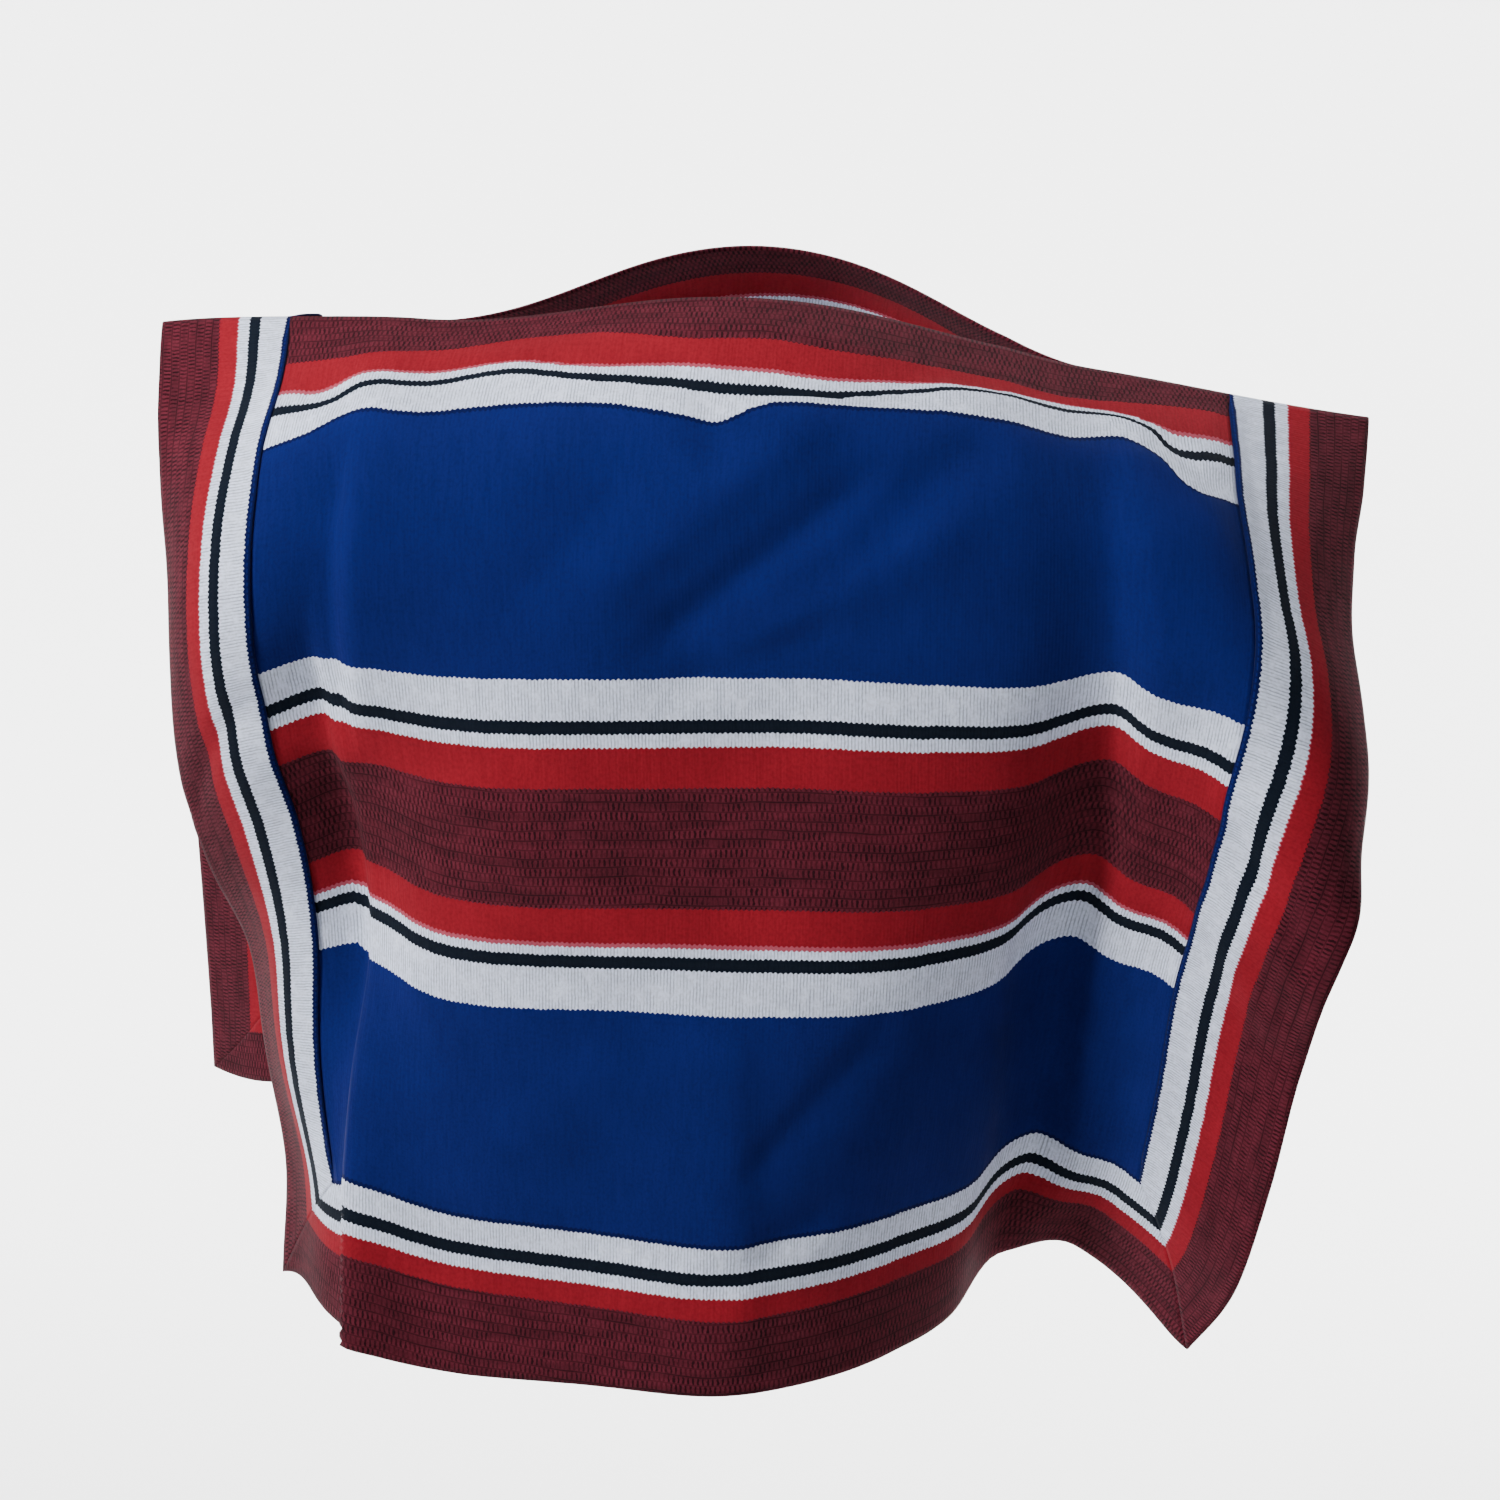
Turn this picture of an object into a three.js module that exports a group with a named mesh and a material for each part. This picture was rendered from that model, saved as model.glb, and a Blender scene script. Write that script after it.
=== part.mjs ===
// A worn poncho of heavy striped cotton, hollow, open at the neck, the sides and the hem.
// Millimetres. X runs across the chest to the picture's right, Y to the back, Z up.
// The origin is the middle of the neck slit, on the line between its two ends.
//
// The cloth is two flat panels that hang from the shoulder seams. A point of a panel is given
// by how far it lies across from the middle line and how far it drops below the shoulder.
// Each row of a section table says where the middle line is at one drop, and how many degrees
// the cloth turns away from the X axis at each named place across it.

import * as THREE from 'three';

const WALL = 1.6;
const SEAM_GAP = 0.3;
const HALF_WIDTH = 332;
const BORDER_WIDTH = 82;
const FRONT_LENGTH = 622;
const BACK_LENGTH = 600;
const SLIT_HALF = 164;

const NECK_RISE = 27;
const NECK_RISE_HALF = 180;
const SHOULDER_HEIGHT = 1;
const LEFT_SHOULDER = { start: 180, fall: 20, roundness: 1.6 };
const RIGHT_SHOULDER = { start: 130, fall: 31, roundness: 1.2 };
const NAPE_RISE = 8;
const SEAM_EASE = 90;
const SEAM_BLEND_START = 0.6;

// The front's lower corners are caught up. Across and drop say where that begins.
const CAUGHT_CORNERS = [
  { across: -226, drop: 400, edge: -HALF_WIDTH, shift: new THREE.Vector3(-6, 19, 17) },
  { across: 120, drop: 60, edge: HALF_WIDTH, shift: new THREE.Vector3(-4, 0, 16) },
];

const SHOULDER_COLUMNS = 8;
const NECK_COLUMNS = 22;
const PANEL_ROWS = 25;
const CORNER_STEPS = 4;
const FORM_STEP_ACROSS = 4;
const FORM_STEP_DOWN = 6;

const BLUE_COTTON = 0x0f3a86;
const BURGUNDY_COTTON = 0x5c1f2e;

// Places across the cloth, by their distance from the middle line.
const PLACES = {
  leftEdge: -332,
  leftBorder: -290,
  leftSeam: -250,
  leftFold: -230,
  leftCrease: -212,
  leftSide: -150,
  leftChest: -90,
  nearLeft: -30,
  nearRight: 20,
  foldRidge: 70,
  foldSlope: 115,
  foldLip: 155,
  valley: 190,
  rightSeam: 235,
  rightBorder: 285,
  rightEdge: 332,
};
const PLACE_ACROSS = Object.values(PLACES);

// Columns: drop, middle line's x and y, then the turn in degrees at each of PLACES in order.
const FRONT_SECTIONS = [
  { drop: 0, x: 7, y: -29, turns: [-14, -24, -16, -10, -5, -5, -10, -6, 9, 13, 13, 12, 11, 9, 20, 34] },
  { drop: 50, x: 10, y: -77, turns: [-12, -28, -23, -15, -10, -5, -8, -6, 7, 12, 12, 12, 12, 13, 24, 40] },
  { drop: 100, x: 12, y: -115, turns: [-42, -33, -24, -15, -10, -4, -5, -4, 3, 7, 8, 10, 12, 18, 28, 52] },
  { drop: 150, x: 15, y: -132, turns: [-66, -42, -20, -10, 0, -2, -3, -2, 1, 1, 2, 2, 5, 14, 34, 60] },
  { drop: 200, x: 18, y: -134, turns: [-68, -45, -12, -4, 4, -6, -2, 3, -1, -2, 4, 4, -8, -10, 30, 64] },
  { drop: 262, x: 21, y: -131, turns: [-57, -41, -6, -4, -6, -16, -2, 6, -2, 2, 16, 14, -10, -34, -8, 66] },
  { drop: 320, x: 24, y: -130, turns: [-52, -40, 0, 6, -26, -20, -3, 4, -2, 8, 26, 24, -8, -40, -36, -10] },
  { drop: 400, x: 26, y: -131, turns: [-60, -58, -14, -10, -40, -18, -3, -3, 1, 20, 38, 38, -2, -36, -36, -30] },
  { drop: 480, x: 27, y: -131, turns: [-62, -64, -34, -54, -30, -12, -6, -5, 9, 28, 39, 41, 6, -34, -40, -38] },
  { drop: 550, x: 28, y: -132, turns: [-54, -64, -52, -86, -20, -10, -8, -7, 18, 35, 41, 44, 14, -32, -43, -44] },
  { drop: 622, x: 31, y: -138, turns: [-46, -60, -54, -98, -16, -10, -8, -4, 22, 38, 50, 58, 46, -22, -46, -46] },
];
const BACK_SECTIONS = [
  { drop: 0, x: 2, y: 62, turns: [-14, -24, -16, -11, -6, 26, 34, 16, -6, -26, -34, -22, 10, 9, 20, 34] },
  { drop: 50, x: 1, y: 102, turns: [-14, -24, -18, -13, -8, 22, 32, 14, -5, -22, -32, -20, 8, 10, 18, 30] },
  { drop: 100, x: -3, y: 126, turns: [-22, -20, -14, -8, -2, 14, 22, 10, -3, -16, -22, -12, 6, 10, 16, 26] },
  { drop: 150, x: -8, y: 136, turns: [-32, -18, -6, -1, 4, 8, 10, 5, -2, -8, -10, -4, 4, 8, 14, 24] },
  { drop: 200, x: -14, y: 139, turns: [-30, -16, -2, 3, 8, 0, 0, 2, -1, -3, -4, 0, 6, 6, 12, 20] },
  { drop: 320, x: -26, y: 141, turns: [-26, -20, 2, 8, 14, -10, -12, 4, 2, 2, -8, -12, 10, 16, 4, 8] },
  { drop: 400, x: -32, y: 143, turns: [-28, -26, 0, 10, 20, -14, -20, 2, 6, 12, -12, -20, 12, 24, 4, 0] },
  { drop: 550, x: -40, y: 147, turns: [-32, -34, -4, 10, 24, -20, -30, 2, 12, 22, -16, -30, 14, 34, 8, -10] },
  { drop: 600, x: -44, y: 150, turns: [-34, -36, -6, 10, 26, -20, -34, 2, 16, 26, -18, -34, 16, 38, 10, -14] },
];

const FRONT = -1;
const BACK = 1;

function evenSteps(from, to, count) {
  return Array.from({ length: count + 1 }, (_, i) => from + ((to - from) * i) / count);
}

function ease(t) {
  const c = Math.min(Math.max(t, 0), 1);
  return c * c * (3 - 2 * c);
}

// A smooth curve through values at stops, with the mean slope of its neighbours at each stop.
function through(stops, values, at) {
  const last = stops.length - 1;
  const slope = (i) => (values[i + 1] - values[i]) / (stops[i + 1] - stops[i]);
  const tangent = (i) => {
    if (i === 0) return slope(0);
    if (i === last) return slope(last - 1);
    return (slope(i - 1) + slope(i)) / 2;
  };
  let i = 0;
  while (i < last - 1 && at >= stops[i + 1]) i += 1;
  const span = stops[i + 1] - stops[i];
  const t = Math.min(Math.max((at - stops[i]) / span, 0), 1);
  return (1 + 2 * t) * (1 - t) ** 2 * values[i]
    + t * (1 - t) ** 2 * span * tangent(i)
    + t * t * (3 - 2 * t) * values[i + 1]
    + t * t * (t - 1) * span * tangent(i + 1);
}

// Height of the shoulder line: it rises round the neck and falls towards the two ends.
function shoulderHeight(across) {
  const away = Math.abs(across);
  const shoulder = across < 0 ? LEFT_SHOULDER : RIGHT_SHOULDER;
  const arch = NECK_RISE * (1 + Math.cos((Math.PI * Math.min(away, NECK_RISE_HALF)) / NECK_RISE_HALF)) / 2;
  const outside = Math.max(away - shoulder.start, 0) / (HALF_WIDTH - shoulder.start);
  return SHOULDER_HEIGHT + arch - shoulder.fall * outside ** shoulder.roundness;
}

// Hangs a panel row by row. Along a row the cloth keeps its width, and from one row to the
// next it keeps its length, so what it doesn't travel sideways it drops.
function hangPanel(sections, length, topHeight) {
  const across = evenSteps(-HALF_WIDTH, HALF_WIDTH, Math.round((2 * HALF_WIDTH) / FORM_STEP_ACROSS));
  const drops = evenSteps(0, length, Math.round(length / FORM_STEP_DOWN));
  const sectionDrops = sections.map((s) => s.drop);
  const middle = (across.length - 1) / 2;
  const rows = [];
  drops.forEach((drop, r) => {
    const turns = PLACE_ACROSS.map((_, p) => through(sectionDrops, sections.map((s) => s.turns[p]), drop));
    const above = r ? rows[r - 1] : across.map((u) => new THREE.Vector3(0, 0, topHeight(u)));
    const row = [new THREE.Vector3()];
    for (let c = 1; c < across.length; c += 1) {
      const step = across[c] - across[c - 1];
      const climb = (above[c].z - above[c - 1].z) / step;
      const level = step * Math.sqrt(Math.max(1 - climb * climb, 0.2));
      const turn = THREE.MathUtils.degToRad(through(PLACE_ACROSS, turns, (across[c] + across[c - 1]) / 2));
      const before = row[c - 1];
      row.push(new THREE.Vector3(before.x + Math.cos(turn) * level, before.y + Math.sin(turn) * level, 0));
    }
    const shiftX = through(sectionDrops, sections.map((s) => s.x), drop) - row[middle].x;
    const shiftY = through(sectionDrops, sections.map((s) => s.y), drop) - row[middle].y;
    row.forEach((point, c) => {
      point.x += shiftX;
      point.y += shiftY;
      if (r === 0) {
        point.z = topHeight(across[c]);
        return;
      }
      const fall = drop - drops[r - 1];
      const sideways = (point.x - above[c].x) ** 2 + (point.y - above[c].y) ** 2;
      point.z = above[c].z - Math.sqrt(Math.max(fall * fall - sideways, (0.2 * fall) ** 2));
    });
    rows.push(row);
  });
  return { across, drops, rows };
}

function catchCorner(panel, corner) {
  panel.rows.forEach((row, r) => {
    const down = ease((panel.drops[r] - corner.drop) / (FRONT_LENGTH - corner.drop));
    row.forEach((point, c) => {
      const aside = ease((panel.across[c] - corner.across) / (corner.edge - corner.across));
      point.addScaledVector(corner.shift, down * aside);
    });
  });
}

// The back panel's shoulder line is brought onto the front panel's. Between the ends of the
// neck slit the back is only stretched evenly along the slit.
function joinShoulders(back, front) {
  const gaps = back.rows[0].map((point, c) => front.rows[0][c].clone().sub(point));
  const slitStart = back.across.findIndex((across) => across >= -SLIT_HALF);
  const slitEnd = back.across.findIndex((across) => across >= SLIT_HALF);
  back.rows.forEach((row, r) => {
    const fade = Math.max(1 - back.drops[r] / SEAM_EASE, 0) ** 2;
    row.forEach((point, c) => {
      const nearest = Math.abs(back.across[c]) >= SLIT_HALF ? c : (back.across[c] < 0 ? slitStart : slitEnd);
      const share = Math.min(Math.abs(back.across[c]) / SLIT_HALF, 1) * fade;
      point.addScaledVector(gaps[nearest], share);
    });
  });
}

function pointOn(panel, across, drop) {
  const find = (list, value) => {
    const place = ((value - list[0]) / (list[list.length - 1] - list[0])) * (list.length - 1);
    const low = Math.min(Math.max(Math.floor(place), 0), list.length - 2);
    return [low, place - low];
  };
  const [c, s] = find(panel.across, across);
  const [r, t] = find(panel.drops, drop);
  const upper = panel.rows[r][c].clone().lerp(panel.rows[r][c + 1], s);
  const lower = panel.rows[r + 1][c].clone().lerp(panel.rows[r + 1][c + 1], s);
  return upper.lerp(lower, t);
}

function outwardOn(panel, side, across, drop) {
  const right = pointOn(panel, Math.min(across + FORM_STEP_ACROSS, HALF_WIDTH), drop);
  const left = pointOn(panel, Math.max(across - FORM_STEP_ACROSS, -HALF_WIDTH), drop);
  const below = pointOn(panel, across, Math.min(drop + FORM_STEP_DOWN, panel.length));
  const above = pointOn(panel, across, Math.max(drop - FORM_STEP_DOWN, 0));
  const outward = right.sub(left).cross(below.sub(above)).normalize();
  return outward.multiplyScalar(side);
}

const frontPanel = hangPanel(FRONT_SECTIONS, FRONT_LENGTH, shoulderHeight);
frontPanel.length = FRONT_LENGTH;
CAUGHT_CORNERS.forEach((corner) => catchCorner(frontPanel, corner));
const napeHeight = (across) => {
  const away = Math.min(Math.abs(across) / SLIT_HALF, 1);
  return shoulderHeight(across) + NAPE_RISE * Math.cos((Math.PI * away) / 2) ** 2;
};
const backPanel = hangPanel(BACK_SECTIONS, BACK_LENGTH, napeHeight);
backPanel.length = BACK_LENGTH;
joinShoulders(backPanel, frontPanel);

// On the shoulder seam both panels share one direction, so their edges meet face to face.
function wallPoint(side, across, drop) {
  const panel = side === FRONT ? frontPanel : backPanel;
  const outward = outwardOn(panel, side, across, drop);
  if (drop < SEAM_GAP) {
    const other = side === FRONT ? backPanel : frontPanel;
    const share = ease((Math.abs(across) / SLIT_HALF - SEAM_BLEND_START) / (1 - SEAM_BLEND_START));
    outward.addScaledVector(outwardOn(other, -side, across, drop), share).normalize();
  }
  const middle = pointOn(panel, across, drop);
  return {
    outer: middle.clone().addScaledVector(outward, WALL / 2),
    inner: middle.clone().addScaledVector(outward, -WALL / 2),
  };
}

// A closed wall over a grid of cloth points. Grid points that fall together are shared.
function clothWall(name, side, grid, colour) {
  const corners = [];
  const numbers = grid.map(() => []);
  grid.forEach((row, r) => {
    row.forEach(([across, drop], c) => {
      const up = r ? grid[r - 1][c] : null;
      if (up && up[0] === across && up[1] === drop) {
        numbers[r].push(numbers[r - 1][c]);
        return;
      }
      numbers[r].push(corners.length);
      corners.push(wallPoint(side, across, drop));
    });
  });
  const count = corners.length;
  const faces = [];
  const addFace = (a, b, c) => {
    if (a === b || b === c || c === a) return;
    if (side === FRONT) faces.push(a, c, b);
    else faces.push(a, b, c);
  };
  const addQuad = (a, b, c, d) => {
    addFace(a, b, c);
    addFace(a, c, d);
  };
  const rows = grid.length - 1;
  const columns = grid[0].length - 1;
  for (let r = 0; r < rows; r += 1) {
    for (let c = 0; c < columns; c += 1) {
      const a = numbers[r][c];
      const b = numbers[r][c + 1];
      const d = numbers[r + 1][c + 1];
      const e = numbers[r + 1][c];
      addQuad(a, b, d, e);
      addFace(a + count, d + count, b + count);
      addFace(a + count, e + count, d + count);
    }
  }
  const addEdge = (a, b) => {
    if (a !== b) addQuad(b, a, a + count, b + count);
  };
  for (let c = 0; c < columns; c += 1) {
    addEdge(numbers[0][c], numbers[0][c + 1]);
    addEdge(numbers[rows][c + 1], numbers[rows][c]);
  }
  for (let r = 0; r < rows; r += 1) {
    addEdge(numbers[r + 1][0], numbers[r][0]);
    addEdge(numbers[r][columns], numbers[r + 1][columns]);
  }
  const positions = [];
  corners.forEach(({ outer }) => positions.push(outer.x, outer.y, outer.z));
  corners.forEach(({ inner }) => positions.push(inner.x, inner.y, inner.z));
  const geometry = new THREE.BufferGeometry();
  geometry.setAttribute('position', new THREE.Float32BufferAttribute(positions, 3));
  geometry.setIndex(faces);
  geometry.computeVertexNormals();
  const material = new THREE.MeshStandardMaterial({ color: colour, roughness: 0.9, metalness: 0 });
  const mesh = new THREE.Mesh(geometry, material);
  mesh.name = name;
  return mesh;
}

// The panel between the border strips. Below their corners it widens to the hem's full width.
function panelGrid(length) {
  const corner = length - BORDER_WIDTH;
  const seam = HALF_WIDTH - BORDER_WIDTH;
  const drops = evenSteps(SEAM_GAP / 2, corner, PANEL_ROWS);
  drops.push(...evenSteps(corner, length, CORNER_STEPS).slice(1));
  return drops.map((drop) => {
    const below = Math.max(drop - corner, 0);
    const half = seam + below - (below > 0 ? SEAM_GAP * Math.SQRT1_2 : SEAM_GAP / 2);
    const slit = (half * SLIT_HALF) / seam;
    const columns = evenSteps(-half, -slit, SHOULDER_COLUMNS);
    columns.push(...evenSteps(-slit, slit, NECK_COLUMNS).slice(1));
    columns.push(...evenSteps(slit, half, SHOULDER_COLUMNS).slice(1));
    return columns.map((across) => [across, drop]);
  });
}

// A border strip, straight down the side and cut at 45 degrees where it meets the hem band.
function borderGrid(length, sign) {
  const corner = length - BORDER_WIDTH;
  const seam = HALF_WIDTH - BORDER_WIDTH;
  const widths = evenSteps(0, BORDER_WIDTH, CORNER_STEPS);
  const mitre = SEAM_GAP * Math.SQRT1_2;
  const straight = evenSteps(SEAM_GAP / 2, corner, PANEL_ROWS).slice(0, -1);
  const grid = straight.map((drop) => widths.map((width) => [width, drop]));
  widths.forEach((limit) => {
    grid.push(widths.map((width) => [width, corner + Math.min(limit, width) - mitre]));
  });
  const placed = grid.map((row) => row.map(([width, drop]) => {
    const inside = width === 0 ? SEAM_GAP / 2 : width;
    return [sign * (seam + inside), drop];
  }));
  return sign > 0 ? placed : placed.map((row) => row.reverse());
}

const poncho = new THREE.Group();
poncho.add(clothWall('front_panel', FRONT, panelGrid(FRONT_LENGTH), BLUE_COTTON));
poncho.add(clothWall('back_panel', BACK, panelGrid(BACK_LENGTH), BLUE_COTTON));
[['left', -1], ['right', 1]].forEach(([name, sign]) => {
  const frontGrid = borderGrid(FRONT_LENGTH, sign);
  const backGrid = borderGrid(BACK_LENGTH, sign);
  poncho.add(clothWall(`front_border_${name}`, FRONT, frontGrid, BURGUNDY_COTTON));
  poncho.add(clothWall(`back_border_${name}`, BACK, backGrid, BURGUNDY_COTTON));
});

export default poncho;
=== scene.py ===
"""A short striped poncho of handwoven cotton, in its worn form, for Blender 4.5."""

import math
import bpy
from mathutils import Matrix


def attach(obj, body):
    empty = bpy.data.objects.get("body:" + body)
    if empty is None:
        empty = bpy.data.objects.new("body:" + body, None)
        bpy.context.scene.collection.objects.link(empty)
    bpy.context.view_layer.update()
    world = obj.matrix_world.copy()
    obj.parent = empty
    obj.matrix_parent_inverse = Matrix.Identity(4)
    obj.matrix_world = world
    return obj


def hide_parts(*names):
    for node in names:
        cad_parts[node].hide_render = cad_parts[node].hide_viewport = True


bl_info = {
    "name": "Striped Poncho",
    "version": (1, 0, 0),
    "blender": (4, 5, 0),
    "location": "View3D > Sidebar > Poncho",
    "description": "Builds a hollow worn poncho of striped cotton with borders, seams and stitches",
    "category": "Object",
}

import bmesh
import bpy
import numpy as np
from mathutils import Matrix, Vector

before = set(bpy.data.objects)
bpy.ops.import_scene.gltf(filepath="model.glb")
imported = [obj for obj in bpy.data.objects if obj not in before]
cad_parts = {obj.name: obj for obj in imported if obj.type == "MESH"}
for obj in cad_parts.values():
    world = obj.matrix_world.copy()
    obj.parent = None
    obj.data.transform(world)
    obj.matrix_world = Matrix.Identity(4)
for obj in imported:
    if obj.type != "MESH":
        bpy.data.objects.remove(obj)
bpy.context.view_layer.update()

# One millimetre in metres. Lengths in the tables and values below are in millimetres where no unit stands.
MM = 0.001
FRONT = -1
BACK = 1
HANDS = {"left": -1, "right": 1}

# Half the gap at a butted seam.
SEAM_GAP = 0.15
# A border's inner edge lies over the panel's edge by LAP and stands LAP_RISE above it. The rise ends
# LAP_SLOPE away from the edge, and both fade over LAP_FADE at the shoulder and at the mitre.
LAP = 1.5
LAP_RISE = 1.5
LAP_SLOPE = 8
LAP_FADE = 20

# Places across the cloth from its middle line.
PLACES = {
    "left_edge": -332,
    "left_border": -290,
    "left_seam": -250,
    "left_fold": -230,
    "left_crease": -212,
    "left_side": -150,
    "left_chest": -90,
    "near_left": -30,
    "near_right": 20,
    "fold_ridge": 70,
    "fold_slope": 115,
    "fold_lip": 155,
    "valley": 190,
    "right_seam": 235,
    "right_border": 285,
    "right_edge": 332,
}

# The shoulder line arches over the neck and falls away towards both edges.
SHOULDER_HEIGHT = 1
NECK_RISE = 27
NECK_RISE_HALF = 180
LEFT_SHOULDER = {"start": 180, "fall": 20, "roundness": 1.6}
RIGHT_SHOULDER = {"start": 130, "fall": 31, "roundness": 1.2}
# The back stands higher in the neck slit, and is drawn to the front's shoulder line over SEAM_EASE.
NAPE_RISE = 8
SEAM_EASE = 90

# The front's lower corners are caught up. Columns: across and drop where it begins, edge, shift.
CAUGHT_CORNERS = (
    (-226, 400, -332, (-6, 19, 17)),
    (120, 60, 332, (-4, 0, 16)),
)

# Columns: drop below the shoulder, middle line's x and y, then the turn in degrees at each place.
FRONT_SECTIONS = [
    (0, 7, -29, [-14, -24, -16, -10, -5, -5, -10, -6, 9, 13, 13, 12, 11, 9, 20, 34]),
    (50, 10, -77, [-12, -28, -23, -15, -10, -5, -8, -6, 7, 12, 12, 12, 12, 13, 24, 40]),
    (100, 12, -115, [-42, -33, -24, -15, -10, -4, -5, -4, 3, 7, 8, 10, 12, 18, 28, 52]),
    (150, 15, -132, [-66, -42, -20, -10, 0, -2, -3, -2, 1, 1, 2, 2, 5, 14, 34, 60]),
    (200, 18, -134, [-68, -45, -12, -4, 4, -6, -2, 3, -1, -2, 4, 4, -8, -10, 30, 64]),
    (262, 21, -131, [-57, -41, -6, -4, -6, -16, -2, 6, -2, 2, 16, 14, -10, -34, -8, 66]),
    (320, 24, -130, [-52, -40, 0, 6, -26, -20, -3, 4, -2, 8, 26, 24, -8, -40, -36, -10]),
    (400, 26, -131, [-60, -58, -14, -10, -40, -18, -3, -3, 1, 20, 38, 38, -2, -36, -36, -30]),
    (480, 27, -131, [-62, -64, -34, -54, -30, -12, -6, -5, 9, 28, 39, 41, 6, -34, -40, -38]),
    (550, 28, -132, [-54, -64, -52, -86, -20, -10, -8, -7, 18, 35, 41, 44, 14, -32, -43, -44]),
    (622, 31, -138, [-46, -60, -54, -98, -16, -10, -8, -4, 22, 38, 50, 58, 46, -22, -46, -46]),
]
BACK_SECTIONS = [
    (0, 2, 62, [-14, -24, -16, -11, -6, 26, 34, 16, -6, -26, -34, -22, 10, 9, 20, 34]),
    (50, 1, 102, [-14, -24, -18, -13, -8, 22, 32, 14, -5, -22, -32, -20, 8, 10, 18, 30]),
    (100, -3, 126, [-22, -20, -14, -8, -2, 14, 22, 10, -3, -16, -22, -12, 6, 10, 16, 26]),
    (150, -8, 136, [-32, -18, -6, -1, 4, 8, 10, 5, -2, -8, -10, -4, 4, 8, 14, 24]),
    (200, -14, 139, [-30, -16, -2, 3, 8, 0, 0, 2, -1, -3, -4, 0, 6, 6, 12, 20]),
    (320, -26, 141, [-26, -20, 2, 8, 14, -10, -12, 4, 2, 2, -8, -12, 10, 16, 4, 8]),
    (400, -32, 143, [-28, -26, 0, 10, 20, -14, -20, 2, 6, 12, -12, -20, 12, 24, 4, 0]),
    (550, -40, 147, [-32, -34, -4, 10, 24, -20, -30, 2, 12, 22, -16, -30, 14, 34, 8, -10]),
    (600, -44, 150, [-34, -36, -6, 10, 26, -20, -34, 2, 16, 26, -18, -34, 16, 38, 10, -14]),
]

# Small folds laid on the cloth, ridges above zero and valleys below.
# Columns: side, start and end as (across, drop), half width left and right of that line, height.
FOLDS = {
    "left turn": (FRONT, (-205, 118), (-211, 262), 38, 7, -11.0),
    "left crease": (FRONT, (-221, 215), (-226, 640), 22, 5, -7.0),
    "left crease lip": (FRONT, (-211, 250), (-213, 640), 6, 16, 2.0),
    "right valley": (FRONT, (176, 112), (188, 620), 31, 13, -13.0),
    "right valley lip": (FRONT, (140, 250), (146, 600), 26, 16, 2.0),
    "right crest": (FRONT, (203, 180), (212, 560), 9, 18, 1.6),
    "upper sweep ridge": (FRONT, (36, 98), (-70, 180), 20, 11, 3.4),
    "upper sweep": (FRONT, (62, 122), (-44, 206), 11, 10, -4.6),
    "upper sweep tail": (FRONT, (104, 146), (-14, 218), 10, 15, 3.0),
    "upper sweep end": (FRONT, (44, 196), (-34, 228), 9, 9, -2.2),
    "right shoulder pull": (FRONT, (120, 96), (60, 150), 12, 14, -3.0),
    "chest swell": (FRONT, (-120, 110), (-60, 240), 34, 26, 2.0),
    "chest pull": (FRONT, (-60, 130), (-120, 190), 12, 12, -1.6),
    "collar roll": (FRONT, (-70, 84), (44, 96), 9, 8, 1.8),
    "collar roll right": (FRONT, (90, 64), (190, 60), 8, 8, 1.6),
    "collar tuck": (FRONT, (206, 66), (236, 104), 10, 12, -2.6),
    "collar dimple": (FRONT, (-24, 84), (-10, 122), 9, 9, -2.2),
    "shoulder tuck left": (FRONT, (-232, 60), (-196, 84), 10, 12, -2.2),
    "right border dip": (FRONT, (250, 282), (326, 330), 9, 13, -3.0),
    "right border swell": (FRONT, (248, 332), (318, 390), 16, 12, 2.2),
    "left border dip": (FRONT, (-256, 236), (-326, 292), 10, 13, -2.4),
    "lower pull": (FRONT, (-6, 410), (6, 600), 34, 11, 3.4),
    "lower slant": (FRONT, (74, 414), (6, 500), 10, 14, -3.0),
    "lower slant end": (FRONT, (50, 520), (-16, 566), 10, 12, -2.4),
    "lower left slant": (FRONT, (-60, 430), (-150, 520), 18, 22, 2.0),
    "band swell": (FRONT, (-150, 280), (-60, 380), 26, 22, 1.6),
    "back middle pull": (BACK, (-70, 90), (-96, 420), 14, 18, -2.8),
    "back shoulder pull": (BACK, (150, 60), (30, 190), 12, 18, 2.4),
    "back left pull": (BACK, (-190, 90), (-130, 230), 16, 10, 2.2),
    "back right pull": (BACK, (84, 120), (122, 420), 20, 12, 2.6),
    "back low swell": (BACK, (10, 330), (34, 600), 20, 26, 2.2),
    "back low valley": (BACK, (-150, 300), (-164, 600), 10, 16, -2.6),
    "back right valley": (BACK, (196, 240), (206, 600), 14, 9, -2.8),
}
# Small folds fade out over FOLD_START below the shoulder and over this share of their length at each end.
FOLD_START = 40
FOLD_TAPER = 0.3

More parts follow.
